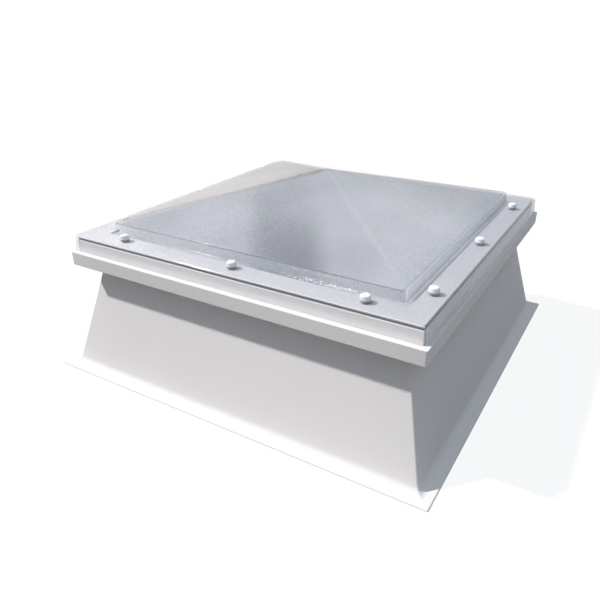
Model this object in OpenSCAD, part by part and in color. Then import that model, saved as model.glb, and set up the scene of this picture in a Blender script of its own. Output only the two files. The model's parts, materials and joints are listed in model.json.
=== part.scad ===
// Opening rooflight: a square double-skin pyramid dome on a splayed one-piece upstand.
// The sash is hinged along the back, and a hand-wound screw jack at the front raises it.
// The origin is the middle of the base, +Z is up, and the front faces -Y.

/* [Upstand] */
// Height from the roof deck to the top of the rim
upstand_h = 300; // [290:1:500]
// Overall width of the rim over its lip
rim_w = 882; // [760:1:1300]
// How far the lip stands out from the wall at the rim
rim_overhang = 59.3; // [50:0.1:75]
// Depth of the rim's down-turned lip
lip_h = 32.5; // [32:0.5:60]
// Thickness of the lip
lip_t = 5; // [3:0.5:8]
// Thickness of the ledge
ledge_t = 8; // [5:0.5:14]
// Radius of the rim's top edge
rim_r = 2.5; // [1:0.5:4]
// Lean of the walls from upright, in degrees
wall_lean = 14.42; // [8:0.01:17]
// Thickness of the walls, measured level
wall_t = 22; // [18:1:28]
// Width of the base flange beyond the wall
base_rim = 28.6; // [26:0.1:60]
// Thickness of the base flange
base_t = 3.5; // [3:0.5:10]
// Radius of the cove between the base flange and the wall
cove_r = 18; // [8:1:24]

/* [Sash] */
// Distance from the lip's outer face to the sash's outer face
sash_setback = 14; // [13:0.5:22]
// Width of the sash profile
sash_w = 63; // [57:0.5:66]
// Height of the sash profile
sash_h = 25; // [21:0.5:40]
// Thickness of the sash profile's walls
sash_wall = 2.5; // [1.5:0.1:3]
// Width and height of the rebate along the sash's top outer edge
sash_rebate = 1; // [1:0.5:4]
// Space between the rim and the closed sash
seat_gap = 3; // [2.6:0.1:4]
// Space left between the rim and the sash's weather lip
lip_gap = 0.8; // [0.6:0.1:2]
// Width of the solid web that takes the fixing screws
web_w = 12; // [11:0.5:16]
// Width of the weather seal
seal_w = 8; // [6:0.5:9]
// Depth of the weather seal's groove
seal_groove = 4; // [2:0.5:5]

/* [Domes] */
// Thickness of the outer dome's sheet
dome_t = 3; // [2:0.5:4]
// Thickness of the inner dome's sheet
inner_t = 2.5; // [2:0.5:4]
// Thickness of the glazing gasket
gasket_t = 4.5; // [2:0.5:6]
// Thickness of the spacer strip between the two domes
spacer_t = 3; // [2:0.5:12]
// Gap between the sash's outer face and the outer dome's skirt
skirt_gap = 3; // [2:0.5:6]
// Outward flare of the skirt over its depth
skirt_flare = 3.5; // [1:0.5:5]
// Gap between the skirt's hem and the rim
hem_gap = 4.5; // [4.2:0.1:8]
// Width of the flat flange, from the skirt to the step
flange_w = 64; // [59:0.5:72]
// Height of the upright step
step_h = 24; // [20:1:60]
// Inward draft of the step over its height
step_draft = 3; // [0.5:0.5:6]
// Radius along the foot and the eaves of the step
step_r = 5; // [4:0.5:7]
// Plan radius of the step's corners
step_corner_r = 12; // [9:1:24]
// Plan radius of the flange's corners
flange_corner_r = 12; // [6:1:16]
// Radius along the flange's outer edge
flange_r = 3.5; // [1.5:0.5:5]
// Pitch of the pyramid, in degrees
dome_pitch = 14.65; // [8:0.05:30]
// Radius over the pyramid's apex
apex_r = 60; // [20:1:150]
// Gap between the two domes at the step
skin_gap = 3; // [2:0.5:10]
// Upright gap between the two pyramids
skin_drop = 2.5; // [2:0.5:18]

/* [Fixings] */
// Distance from the flange's outer edge to the line of fixings
fixing_inset = 36; // [32:0.5:40]
// Distance from the flange's corner to the nearest fixing, along the side
fixing_end = 131; // [110:1:160]
// Diameter of the fixing caps
cap_d = 22; // [18:0.5:24]
// Height of the fixing caps
cap_h = 9.5; // [7.5:0.5:14]
// Thickness of the washers under the caps
washer_h = 4; // [2:0.5:6]
// Diameter of the fixing screws
fixing_d = 5; // [4:0.1:6]

/* [Hinges] */
// Distance from the side of the rim to the middle of each hinge
hinge_inset = 181; // [110:1:240]
// Width of a hinge leaf
leaf_w = 70; // [60:1:100]
// Thickness of a hinge leaf
leaf_t = 2; // [1.5:0.1:2.2]
// Height of the fixed leaf on the lip
leaf_drop = 32; // [28:0.5:33]
// Length of the moving leaf from the hinge axis
leaf_reach = 43; // [41:0.5:44]
// Radius of the hinge barrel
barrel_r = 5; // [4.2:0.1:6]
// Diameter of the hinge pin
pin_d = 5; // [3:0.1:5.6]
// Length of the moving knuckle
knuckle_w = 23.4; // [16:0.1:30]

/* [Screw jack] */
// Diameter of the spindle
spindle_d = 12; // [10:0.5:14]
// Travel of the spindle
jack_travel = 204; // [120:1:210]
// Height of the clevis above the gearbox pivot
jack_rise = 55; // [52:0.5:70]
// Lean of the closed spindle towards the front, in degrees
spindle_lean = 0.915; // [0:0.005:3]
// Reach of the clevis from the sash's inner face
clevis_reach = 27; // [24:0.5:34]
// Height of the clevis pin above the sash's underside
clevis_rise = 14; // [11:0.5:14]
// Diameter of the clevis pin
clevis_d = 8; // [6:0.5:9]
// Radius of the gearbox body
box_r = 20; // [17:0.5:22]
// Height of the gearbox body
box_h = 40; // [32:1:44]
// Diameter of the gearbox pivots
pivot_d = 10; // [8:0.5:12]
// Fall of the winding shaft from level, in degrees
shaft_fall = 45; // [35:1:50]
// Diameter of the winding shaft
shaft_d = 10; // [8:0.5:11]
// Bore of the winding eye
eye_d = 22; // [16:0.5:30]
// Thickness of the winding eye
eye_t = 7; // [5:0.5:9]
// Width of the winding eye's ring
eye_rim = 6; // [4:0.5:9]

/* [Hidden] */

$fn = 64;
// Steps in each rounded corner of a section
arc_steps = 5;
// Overlap that lets a cut pass clean through a face
cut = 1;

// Clearances: running fit, fixed fit, screw in its pilot hole, screw through a sheet
run_fit = 0.08;
fixed_fit = 0.03;
pilot_fit = 0.1;
sheet_fit = 1.2;
// Side gap between knuckles, and gap at the ends of other moving pieces
end_gap = 0.6;
// Gap between the seal and the rim
seal_clear = 0.3;

// Half widths of the rim, sash and domes
rim = rim_w / 2;
sash_out = rim - sash_setback;
sash_in = sash_out - sash_w;
flange_out = sash_out + skirt_gap + dome_t;
hem_out = flange_out + skirt_flare;
step_foot = flange_out - flange_w;
step_top = step_foot - step_draft;
inner_foot = step_foot - dome_t - skin_gap;
inner_top = inner_foot - step_draft;
bedding_out = sash_out - sash_rebate;
fixing_line = flange_out - fixing_inset;
fixing_pitch = flange_out - fixing_end;

// Heights of the stack above the rim
sash_z = upstand_h + seat_gap;
gasket_z = sash_z + sash_h;
inner_z = gasket_z + gasket_t;
spacer_z = inner_z + inner_t;
outer_z = spacer_z + spacer_t;
flange_z = outer_z + dome_t;
step_z = flange_z + step_h;
hem_z = upstand_h + hem_gap;
inner_step_z = step_z + (step_top - inner_top) * tan(dome_pitch) - dome_t / cos(dome_pitch) - skin_drop;

// Bedding of the domes: how far the gasket and the spacer stay back from each edge
bedding_inset = 8;
bedding_back = 1;
spacer_inset = 2;
outer_corner = step_foot - step_corner_r;
inner_corner = inner_foot - step_corner_r;
foot_spread = 2 * step_r;
// Radius inside the flange's outer edge
flange_in_r = 1.5;

// Small screws: radius, head radius, head height, hex socket radius and depth
small_r = 2;
small_head_r = 3.8;
small_head_h = 1.8;
socket_r = 1.3;
socket_deep = 1;
small_len = 12;
wall_screw_r = 2.4;
wall_screw_head_r = 4.6;
wall_screw_head_h = 2.4;
wall_screw_len = 20;

// Fixings: how far the washer stays inside the cap, the screw head, and the cap's fit over it
washer_inset = 1.2;
fixing_head_r = 5;
fixing_head_h = 3.2;
cap_round = 3.5;
head_gap = 0.4;
fixing_tip = 2;

// Hinges
hinge_x = rim - hinge_inset;
hinge_y = rim + barrel_r;
hinge_z = sash_z - leaf_t / 2;
pin_head_r = 3.6;
pin_head_h = 1.6;
leaf_screw_pitch = 24;
leaf_edge = 10;

// Jack pivot and clevis, in the Y-Z plane
clevis_y = clevis_reach - sash_in;
clevis_z = sash_z + clevis_rise;
pivot_y = clevis_y + jack_rise * tan(spindle_lean);
pivot_z = clevis_z - jack_rise;
spindle_top = jack_rise / cos(spindle_lean);

// Gearbox, along its spindle
cover_h = 4;
wiper_r = 10;
wiper_h = 4;
boss_r = 9.5;
boss_out = box_r + 6;
pivot_deep = 12;
pivot_shoulder = 2;
input_r = 11;
input_len = 34;
bush_len = 14;
bush_wall = 2;
bush_flange_r = 9;
bush_flange_h = 1.5;
cover_screw_r = 1.6;
cover_screw_head_r = 2.9;
cover_screw_head_h = 2;
cover_screw_len = 14;
cover_screw_line = (box_r + wiper_r) / 2;
spindle_fit = spindle_d / 2 + run_fit;

// Winding eye, along its shaft
collar_r = 8;
collar_h = 3;
shaft_len = 12;
shaft_start = input_len - bush_len + cut;
collar_start = input_len + bush_flange_h + end_gap / 2;
eye_centre = collar_start + collar_h + shaft_len + eye_d / 2 + eye_rim / 2;

// Spindle eye, stop collar and its pin
spindle_eye_r = 9.5;
spindle_eye_w = 11;
// The clevis pin has this much play in the spindle's eye, for the small misfit over the travel
clevis_play = 0.35;
stop_r = 10;
stop_h = 8;
stop_gap = 7;
stop_z = -box_h / 2 - jack_travel - stop_gap - stop_h;
stop_pin_r = 1.5;

// Brackets
plate_t = 4;
ear_t = 3.5;
bracket_half = 52;
bracket_up = 24;
bracket_down = 46;
bracket_screw_x = 42;
bracket_screw_edge = 10;
ear_r = 11;
ear_in = boss_out + end_gap;
sash_plate_half = 34;
sash_plate_t = 3;
sash_plate_edge = 1;
sash_plate_screw_x = 25;
sash_plate_screw_z = 5.5;
sash_ear_t = 3;
sash_ear_r = 8;
sash_ear_in = spindle_eye_w / 2 + end_gap;
clevis_head_r = 6;
clevis_head_h = 2;
clip_t = 1.2;
clevis_end = 2;

// Half width of the upstand's wall, outside, at a height
function wall_half(z) = rim - rim_overhang + (upstand_h - z) * tan(wall_lean);

// Distance of the jack pivot from the wall's inner face
pivot_stand = (pivot_y + wall_half(pivot_z) - wall_t) * cos(wall_lean);

function unit(v) = v / norm(v);

// Points of the arc that rounds corner b, between a and c, with radius r
function corner_arc(a, b, c, r) =
    let (u = unit(a - b), v = unit(c - b), half = acos(u * v) / 2)
    let (centre = b + unit(u + v) * r / sin(half), s = b + u * r / tan(half), e = b + v * r / tan(half))
    let (from = atan2(s.y - centre.y, s.x - centre.x), to = atan2(e.y - centre.y, e.x - centre.x))
    let (sweep = (to - from + 540) % 360 - 180)
    [for (i = [0:arc_steps]) centre + r * [cos(from + sweep * i / arc_steps), sin(from + sweep * i / arc_steps)]];

function flat(p) = [p[0], p[1]];

// A line through points given as [x, z] or [x, z, corner radius]
function rounded_path(p) = [for (i = [0:len(p) - 1])
    each len(p[i]) == 3 && p[i][2] > 0
        ? corner_arc(flat(p[i - 1]), flat(p[i]), flat(p[i + 1]), p[i][2])
        : [flat(p[i])]];

function mirrored(p) = [for (i = [len(p) - 1:-1:0]) len(p[i]) == 3 ? [-p[i][0], p[i][1], p[i][2]] : [-p[i][0], p[i][1]]];
function shifted(p, by) = [for (q = p) len(q) == 3 ? [q[0] - by, q[1], q[2]] : [q[0] - by, q[1]]];

// Height of a section's top at distance x, rising at a pitch from its last point
function crest(p, x, pitch) = p[len(p) - 1][1] + (p[len(p) - 1][0] - x) * tan(pitch);

// Solid with the same section on all four sides and mitred corners; the right half is given
module four_sided(right, pitch = 0, crown_r = 0) {
    top = pitch > 0 ? [[0, crest(right, 0, pitch), crown_r]] : [];
    outline = rounded_path(concat(right, top, mirrored(right)));
    reach = max([for (p = right) p[0]]);
    intersection_for (turn = [0, 90])
        rotate([90, 0, turn])
            linear_extrude(height = 2 * reach + cut, center = true)
                polygon(outline);
}

// The same, with its corners turned round an upright axis at (centre, centre)
module four_sided_round(right, centre, pitch = 0, crown_r = 0) {
    low = right[0][1];
    reach = max([for (p = right) p[0]]);
    high = crest(right, 0, pitch);
    quarter = rounded_path(concat([[0, low]], shifted(right, centre), [[0, crest(right, centre, pitch)]]));
    difference() {
        four_sided(right, pitch, crown_r);
        for (turn = [0:90:270])
            rotate(turn)
                translate([centre, centre, low - cut])
                    cube([reach, reach, high - low + 2 * cut]);
    }
    for (turn = [0:90:270])
        rotate(turn)
            translate([centre, centre, 0])
                rotate_extrude(angle = 90)
                    polygon(quarter);
}

// Square ring between two half widths, from z up by h
module square_ring(out, in, z, h) {
    translate([0, 0, z])
        linear_extrude(height = h)
            difference() {
                square(2 * out, center = true);
                square(2 * in, center = true);
            }
}

// Children at each fixing, with +Z up
module at_fixings() {
    for (turn = [0:90:270], along = [-1:1])
        rotate(turn)
            translate([along * fixing_pitch, -fixing_line, 0])
                children();
}

module fixing_holes(r, z, h) {
    at_fixings()
        translate([0, 0, z])
            cylinder(r = r, h = h);
}

// Children at a hinge, with the origin on its axis; side is -1 for left and 1 for right
module at_hinge(side) {
    translate([side * hinge_x, hinge_y, hinge_z])
        children();
}

// Children at the fixed leaf's screws, with +Z going into the lip
module at_fixed_leaf_screws() {
    for (along = [-1:1])
        translate([along * leaf_screw_pitch, leaf_t - barrel_r, leaf_edge - leaf_drop])
            rotate([90, 0, 0])
                children();
}

// Children at the moving leaf's screws, with +Z going up into the sash
module at_moving_leaf_screws() {
    for (along = [-1:1])
        translate([along * leaf_screw_pitch, leaf_edge - leaf_reach, -leaf_t / 2])
            children();
}

// Children in the gearbox's own frame: origin at its pivots, +Z along the spindle
module at_jack() {
    translate([0, pivot_y, pivot_z])
        rotate([spindle_lean, 0, 0])
            children();
}

// Children in the winding shaft's frame: +Z along the shaft, away from the gearbox
module at_shaft() {
    at_jack()
        rotate([-90 - shaft_fall, 0, 0])
            children();
}

// Children on the wall bracket: origin at the pivots, +Y out of the wall, +Z up along it
module at_wall() {
    translate([0, pivot_y, pivot_z])
        rotate([-wall_lean, 0, 0])
            children();
}

// Children at the wall bracket's screws, with +Z going into the wall
module at_bracket_screws() {
    for (side = [-1, 1], z = [bracket_up - bracket_screw_edge, bracket_screw_edge - bracket_down])
        translate([side * bracket_screw_x, plate_t - pivot_stand, z])
            rotate([90, 0, 0])
                children();
}

// Children at the sash bracket's screws, with +Z going into the sash
module at_sash_bracket_screws() {
    for (side = [-1, 1], rise = [-1, 1])
        translate([side * sash_plate_screw_x, sash_plate_t - sash_in, sash_z + sash_h / 2 + rise * sash_plate_screw_z])
            rotate([90, 0, 0])
                children();
}

module at_cover_screws() {
    for (turn = [30:120:270])
        rotate(turn)
            translate([cover_screw_line, 0, box_h / 2 + cover_h])
                children();
}

// Cylinder along X, from x0 to x1
module across(r, x0, x1) {
    translate([x0, 0, 0])
        rotate([0, 90, 0])
            cylinder(r = r, h = x1 - x0);
}

// Countersunk screw with its head's face at z = 0, going up
module countersunk(r, head_r, head_h, len) {
    difference() {
        union() {
            cylinder(r1 = head_r, r2 = r, h = head_h);
            cylinder(r = r, h = len - r);
            translate([0, 0, len - r])
                cylinder(r1 = r, r2 = r / 4, h = r);
        }
        translate([0, 0, -cut])
            cylinder(r = socket_r, h = socket_deep + cut, $fn = 6);
    }
}

// The seat and pilot hole of a countersunk screw
module countersink(r, head_r, head_h, len) {
    cylinder(r1 = head_r + pilot_fit, r2 = r + pilot_fit, h = head_h);
    translate([0, 0, -cut])
        cylinder(r = r + pilot_fit, h = len + 2 * cut);
}

module upstand() {
    base = wall_half(0) + base_rim;
    pocket = rim - lip_t;
    color("white")
        difference() {
            union() {
                four_sided([[base, 0], [base, base_t, rim_r], [wall_half(base_t), base_t, cove_r],
                    [wall_half(upstand_h), upstand_h]]);
                difference() {
                    four_sided([[rim, upstand_h - lip_h], [rim, upstand_h, rim_r],
                        [wall_half(upstand_h), upstand_h]]);
                    four_sided([[pocket, upstand_h - lip_h - cut], [pocket, upstand_h - ledge_t, rim_r],
                        [wall_half(upstand_h), upstand_h - ledge_t]]);
                }
            }
            four_sided([[wall_half(-cut) - wall_t, -cut], [wall_half(upstand_h + cut) - wall_t, upstand_h + cut]]);
            for (side = [-1, 1])
                at_hinge(side)
                    at_fixed_leaf_screws()
                        countersink(small_r, small_head_r, small_head_h, small_len);
            at_wall()
                at_bracket_screws()
                    countersink(wall_screw_r, wall_screw_head_r, wall_screw_head_h, wall_screw_len);
        }
}

module hinge_fixed_leaf(side) {
    gap = knuckle_w / 2 + end_gap / 2;
    color("silver")
        at_hinge(side)
            difference() {
                union() {
                    difference() {
                        translate([-leaf_w / 2, -barrel_r, -leaf_drop])
                            cube([leaf_w, leaf_t, leaf_drop]);
                        translate([-gap, -barrel_r - cut, -barrel_r - end_gap])
                            cube([2 * gap, 2 * barrel_r, 2 * barrel_r]);
                    }
                    across(barrel_r, -leaf_w / 2, -gap);
                    across(barrel_r, gap, leaf_w / 2);
                }
                across(pin_d / 2 + fixed_fit, -leaf_w, leaf_w);
                at_fixed_leaf_screws()
                    countersink(small_r, small_head_r, small_head_h, small_len);
            }
}

module hinge_moving_leaf(side) {
    neck = barrel_r + end_gap;
    color("silver")
        at_hinge(side)
            difference() {
                union() {
                    translate([-leaf_w / 2, -leaf_reach, -leaf_t / 2])
                        cube([leaf_w, leaf_reach - neck, leaf_t]);
                    translate([-knuckle_w / 2, -neck - cut, -leaf_t / 2])
                        cube([knuckle_w, neck + cut, leaf_t]);
                    across(barrel_r, -knuckle_w / 2, knuckle_w / 2);
                }
                across(pin_d / 2 + run_fit, -leaf_w, leaf_w);
                at_moving_leaf_screws()
                    countersink(small_r, small_head_r, small_head_h, small_len);
            }
}

module hinge_pin(side) {
    color("gainsboro")
        at_hinge(side) {
            across(pin_d / 2, -leaf_w / 2 - pin_head_h, leaf_w / 2 + pin_head_h);
            across(pin_head_r, -leaf_w / 2 - pin_head_h, -leaf_w / 2);
            across(pin_head_r, leaf_w / 2, leaf_w / 2 + pin_head_h);
        }
}

module hinge_fixed_leaf_left() {
    hinge_fixed_leaf(-1);
}

module hinge_fixed_leaf_right() {
    hinge_fixed_leaf(1);
}

module hinge_moving_leaf_left() {
    hinge_moving_leaf(-1);
}

module hinge_moving_leaf_right() {
    hinge_moving_leaf(1);
}

module hinge_pin_left() {
    hinge_pin(-1);
}

module hinge_pin_right() {
    hinge_pin(1);
}

module hinge_fixed_screws() {
    color("gainsboro")
        for (side = [-1, 1])
            at_hinge(side)
                at_fixed_leaf_screws()
                    countersunk(small_r, small_head_r, small_head_h, small_len);
}

module hinge_moving_screws() {
    color("gainsboro")
        for (side = [-1, 1])
            at_hinge(side)
                at_moving_leaf_screws()
                    countersunk(small_r, small_head_r, small_head_h, small_len);
}

// Lip along the sash's outer foot, cut away where the hinge leaves pass
module weather_lip() {
    difference() {
        square_ring(sash_out, sash_out - sash_wall, upstand_h + lip_gap, seat_gap);
        for (side = [-1, 1])
            at_hinge(side)
                translate([-leaf_w / 2 - end_gap, -leaf_reach, -barrel_r])
                    cube([leaf_w + 2 * end_gap, leaf_reach, barrel_r + leaf_t / 2]);
    }
}

module sash_frame() {
    chamber_z = sash_z + sash_wall;
    chamber_h = sash_h - 2 * sash_wall;
    color("whitesmoke")
        difference() {
            union() {
                square_ring(sash_out, sash_in, sash_z, sash_h - sash_rebate);
                square_ring(bedding_out, sash_in, sash_z, sash_h);
                weather_lip();
            }
            square_ring(fixing_line - web_w / 2, sash_in + sash_wall, chamber_z, chamber_h);
            square_ring(bedding_out - sash_wall, fixing_line + web_w / 2, chamber_z, chamber_h);
            square_ring(fixing_line + seal_w / 2, fixing_line - seal_w / 2, sash_z - cut, seal_groove + cut);
            fixing_holes(fixing_d / 2 + pilot_fit, sash_z + seal_groove + fixing_tip / 2, sash_h);
            for (side = [-1, 1])
                at_hinge(side)
                    at_moving_leaf_screws()
                        countersink(small_r, small_head_r, small_head_h, small_len);
            at_sash_bracket_screws()
                countersink(small_r, small_head_r, small_head_h, small_len);
        }
}

module weather_seal() {
    lip = fixing_line + seal_w / 2;
    low = upstand_h + seal_clear;
    bulb = seat_gap - seal_clear;
    color("dimgray")
        difference() {
            four_sided([[lip - seal_w / 2, low], [lip, low, bulb / 2], [lip, sash_z + seal_groove]]);
            four_sided([[lip - seal_w + bulb, low - bulb / 2], [lip - seal_w, low + bulb / 2],
                [lip - seal_w, sash_z + seal_groove + cut]]);
        }
}

module glazing_gasket() {
    color("black")
        difference() {
            square_ring(bedding_out - bedding_back, sash_in + bedding_inset, gasket_z, gasket_t);
            fixing_holes(fixing_d / 2 + pilot_fit, gasket_z - cut, gasket_t + 2 * cut);
        }
}

// Section of a dome's raised part, from its flange to its eaves
function raised(foot, top, low, flange, eaves, foot_r, eaves_r) =
    [[foot + foot_spread, low], [foot + foot_spread, flange], [foot, flange, foot_r], [top, eaves, eaves_r]];

// Height at which the underside of a pitched sheet meets the line at distance t inside its eaves
function under_eaves(eaves, t) = eaves + t * tan(dome_pitch) - t / cos(dome_pitch);

module inner_dome() {
    low = inner_z - cut;
    color([0.72, 0.76, 0.80, 0.8])
        difference() {
            union() {
                square_ring(bedding_out, inner_foot, inner_z, inner_t);
                four_sided_round(
                    raised(inner_foot, inner_top, inner_z, spacer_z, inner_step_z, step_r, step_r),
                    inner_corner, dome_pitch, apex_r);
            }
            four_sided_round(
                raised(inner_foot - inner_t, inner_top - inner_t, low, inner_z,
                    under_eaves(inner_step_z, inner_t), step_r + inner_t, step_r - inner_t),
                inner_corner, dome_pitch, apex_r);
            fixing_holes(fixing_d / 2 + sheet_fit, low, inner_t + 2 * cut);
        }
}

module spacer_strip() {
    color("whitesmoke")
        difference() {
            square_ring(bedding_out - bedding_back, inner_foot + foot_spread + spacer_inset, spacer_z, spacer_t);
            fixing_holes(fixing_d / 2 + pilot_fit, spacer_z - cut, spacer_t + 2 * cut);
        }
}

module outer_dome() {
    flange_c = flange_out - flange_corner_r;
    flare = skirt_flare / (flange_z - hem_z);
    color([0.85, 0.88, 0.90, 0.4])
        difference() {
            union() {
                four_sided_round([[hem_out, hem_z], [flange_out, flange_z, flange_r]], flange_c);
                four_sided_round(
                    raised(step_foot, step_top, outer_z, flange_z, step_z, step_r, step_r),
                    outer_corner, dome_pitch, apex_r);
            }
            four_sided_round(
                [[hem_out - dome_t + flare * cut, hem_z - cut],
                    [flange_out - dome_t + flare * dome_t, outer_z, flange_in_r]], flange_c);
            four_sided_round(
                raised(step_foot - dome_t, step_top - dome_t, outer_z - cut, outer_z,
                    under_eaves(step_z, dome_t), step_r + dome_t, step_r - dome_t),
                outer_corner, dome_pitch, apex_r);
            fixing_holes(fixing_d / 2 + sheet_fit, outer_z - cut, dome_t + 2 * cut);
        }
}

module fixing_washers() {
    color("gray")
        at_fixings()
            translate([0, 0, flange_z])
                difference() {
                    cylinder(r = cap_d / 2 - washer_inset, h = washer_h);
                    translate([0, 0, -cut])
                        cylinder(r = fixing_d / 2 + pilot_fit, h = washer_h + 2 * cut);
                }
}

module fixing_screws() {
    tip_z = sash_z + seal_groove + fixing_tip;
    head_z = flange_z + washer_h;
    color("silver")
        at_fixings()
            difference() {
                union() {
                    translate([0, 0, tip_z])
                        cylinder(r1 = fixing_d / 8, r2 = fixing_d / 2, h = fixing_d / 2);
                    translate([0, 0, tip_z + fixing_d / 2])
                        cylinder(r = fixing_d / 2, h = head_z - tip_z - fixing_d / 2);
                    translate([0, 0, head_z])
                        cylinder(r = fixing_head_r, h = fixing_head_h);
                }
                translate([0, 0, head_z + fixing_head_h - socket_deep])
                    cylinder(r = 2 * socket_r, h = socket_deep + cut, $fn = 6);
            }
}

module fixing_caps() {
    r = cap_d / 2;
    section = rounded_path([[0, 0], [r, 0], [r, cap_h, cap_round], [0, cap_h]]);
    color("white")
        at_fixings()
            translate([0, 0, flange_z + washer_h])
                difference() {
                    rotate_extrude()
                        polygon(section);
                    translate([0, 0, -cut])
                        cylinder(r = fixing_head_r + head_gap, h = fixing_head_h + head_gap + cut);
                }
}

// Ear of a bracket: round about the origin and running back to a plate at -reach
module ear(r, reach, root, up, t, x) {
    translate([x, 0, 0])
        rotate([90, 0, 90])
            linear_extrude(height = t) {
                circle(r);
                polygon([[0, r], [-reach, up], [-reach, up - root], [0, -r]]);
            }
}

module jack_bracket() {
    root = bracket_up + bracket_down / 2;
    color("silver")
        at_wall()
            difference() {
                union() {
                    translate([-bracket_half, -pivot_stand, -bracket_down])
                        cube([2 * bracket_half, plate_t, bracket_up + bracket_down]);
                    ear(ear_r, pivot_stand - plate_t / 2, root, bracket_up, ear_t, ear_in);
                    ear(ear_r, pivot_stand - plate_t / 2, root, bracket_up, ear_t, -ear_in - ear_t);
                }
                across(pivot_d / 2 + fixed_fit, -bracket_half, bracket_half);
                at_bracket_screws()
                    countersink(wall_screw_r, wall_screw_head_r, wall_screw_head_h, wall_screw_len);
            }
}

module jack_bracket_screws() {
    color("gainsboro")
        at_wall()
            at_bracket_screws()
                countersunk(wall_screw_r, wall_screw_head_r, wall_screw_head_h, wall_screw_len);
}

module jack_pivot_bolts() {
    head_x = ear_in + ear_t;
    color("gainsboro")
        at_jack()
            for (side = [-1, 1])
                rotate(side > 0 ? 0 : 180)
                    difference() {
                        union() {
                            across(pivot_d / 2, boss_out - pivot_deep + end_gap, head_x);
                            across(pivot_d / 2 + pivot_shoulder, head_x, head_x + ear_t);
                        }
                        translate([head_x + ear_t - socket_deep, 0, 0])
                            rotate([0, 90, 0])
                                cylinder(r = 2 * socket_r, h = socket_deep + cut, $fn = 6);
                    }
}

module gearbox_housing() {
    color("lightgray")
        difference() {
            union() {
                at_jack() {
                    translate([0, 0, -box_h / 2])
                        cylinder(r = box_r, h = box_h);
                    across(boss_r, -boss_out, boss_out);
                }
                at_shaft()
                    cylinder(r = input_r, h = input_len);
            }
            at_jack() {
                translate([0, 0, -box_h])
                    cylinder(r = spindle_fit, h = 2 * box_h);
                across(pivot_d / 2 + run_fit, -boss_out - cut, -boss_out + pivot_deep);
                across(pivot_d / 2 + run_fit, boss_out - pivot_deep, boss_out + cut);
                at_cover_screws()
                    translate([0, 0, -cover_screw_len])
                        cylinder(r = cover_screw_r + pilot_fit, h = cover_screw_len + cut);
            }
            at_shaft()
                translate([0, 0, input_len - bush_len])
                    cylinder(r = shaft_d / 2 + bush_wall, h = bush_len + cut);
        }
}

module gearbox_cover() {
    color("gray")
        at_jack()
            difference() {
                translate([0, 0, box_h / 2]) {
                    cylinder(r = box_r, h = cover_h);
                    cylinder(r = wiper_r, h = cover_h + wiper_h);
                }
                cylinder(r = spindle_fit, h = box_h);
                at_cover_screws()
                    translate([0, 0, -cover_screw_len])
                        cylinder(r = cover_screw_r + pilot_fit, h = cover_screw_len + cut);
            }
}

module gearbox_cover_screws() {
    color("gainsboro")
        at_jack()
            at_cover_screws()
                difference() {
                    union() {
                        translate([0, 0, cut - cover_screw_len])
                            cylinder(r = cover_screw_r, h = cover_screw_len - cut);
                        cylinder(r = cover_screw_head_r, h = cover_screw_head_h);
                    }
                    translate([0, 0, cover_screw_head_h - socket_deep])
                        cylinder(r = socket_r, h = socket_deep + cut, $fn = 6);
                }
}

module input_bush() {
    color("goldenrod")
        at_shaft()
            difference() {
                union() {
                    translate([0, 0, input_len - bush_len])
                        cylinder(r = shaft_d / 2 + bush_wall - fixed_fit, h = bush_len);
                    translate([0, 0, input_len])
                        cylinder(r = bush_flange_r, h = bush_flange_h);
                }
                cylinder(r = shaft_d / 2 + run_fit, h = 2 * input_len);
            }
}

module winding_eye() {
    color("silver")
        at_shaft() {
            difference() {
                union() {
                    translate([0, 0, shaft_start])
                        cylinder(r = shaft_d / 2, h = eye_centre - eye_d / 2 - shaft_start);
                    translate([0, 0, collar_start])
                        cylinder(r = collar_r, h = collar_h);
                    translate([0, 0, eye_centre])
                        across(eye_d / 2 + eye_rim, -eye_t / 2, eye_t / 2);
                }
                translate([0, 0, eye_centre])
                    across(eye_d / 2, -shaft_d, shaft_d);
            }
        }
}

module spindle() {
    color("silver")
        at_jack()
            difference() {
                union() {
                    translate([0, 0, stop_z])
                        cylinder(r = spindle_d / 2, h = spindle_top - stop_z);
                    translate([0, 0, spindle_top])
                        across(spindle_eye_r, -spindle_eye_w / 2, spindle_eye_w / 2);
                }
                translate([0, 0, spindle_top])
                    across(clevis_d / 2 + clevis_play, -spindle_d, spindle_d);
                translate([0, 0, stop_z + stop_h / 2])
                    across(stop_pin_r + fixed_fit, -spindle_d, spindle_d);
            }
}

module spindle_stop() {
    color("gray")
        at_jack()
            translate([0, 0, stop_z])
                difference() {
                    cylinder(r = stop_r, h = stop_h);
                    translate([0, 0, -cut])
                        cylinder(r = spindle_d / 2 + fixed_fit, h = stop_h + 2 * cut);
                    translate([0, 0, stop_h / 2])
                        across(stop_pin_r + fixed_fit, -2 * stop_r, 2 * stop_r);
                }
}

module stop_pin() {
    color("gainsboro")
        at_jack()
            translate([0, 0, stop_z + stop_h / 2])
                across(stop_pin_r, -stop_r, stop_r);
}

module sash_bracket() {
    up = sash_h - clevis_rise - sash_plate_edge;
    root = sash_h - 2 * sash_plate_edge;
    reach = clevis_reach - sash_plate_t / 2;
    color("silver")
        difference() {
            union() {
                translate([-sash_plate_half, -sash_in, sash_z + sash_plate_edge])
                    cube([2 * sash_plate_half, sash_plate_t, root]);
                translate([0, clevis_y, clevis_z]) {
                    ear(sash_ear_r, reach, root, up, sash_ear_t, sash_ear_in);
                    ear(sash_ear_r, reach, root, up, sash_ear_t, -sash_ear_in - sash_ear_t);
                }
            }
            translate([0, clevis_y, clevis_z])
                across(clevis_d / 2 + fixed_fit, -sash_plate_half, sash_plate_half);
            at_sash_bracket_screws()
                countersink(small_r, small_head_r, small_head_h, small_len);
        }
}

module sash_bracket_screws() {
    color("gainsboro")
        at_sash_bracket_screws()
            countersunk(small_r, small_head_r, small_head_h, small_len);
}

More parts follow.
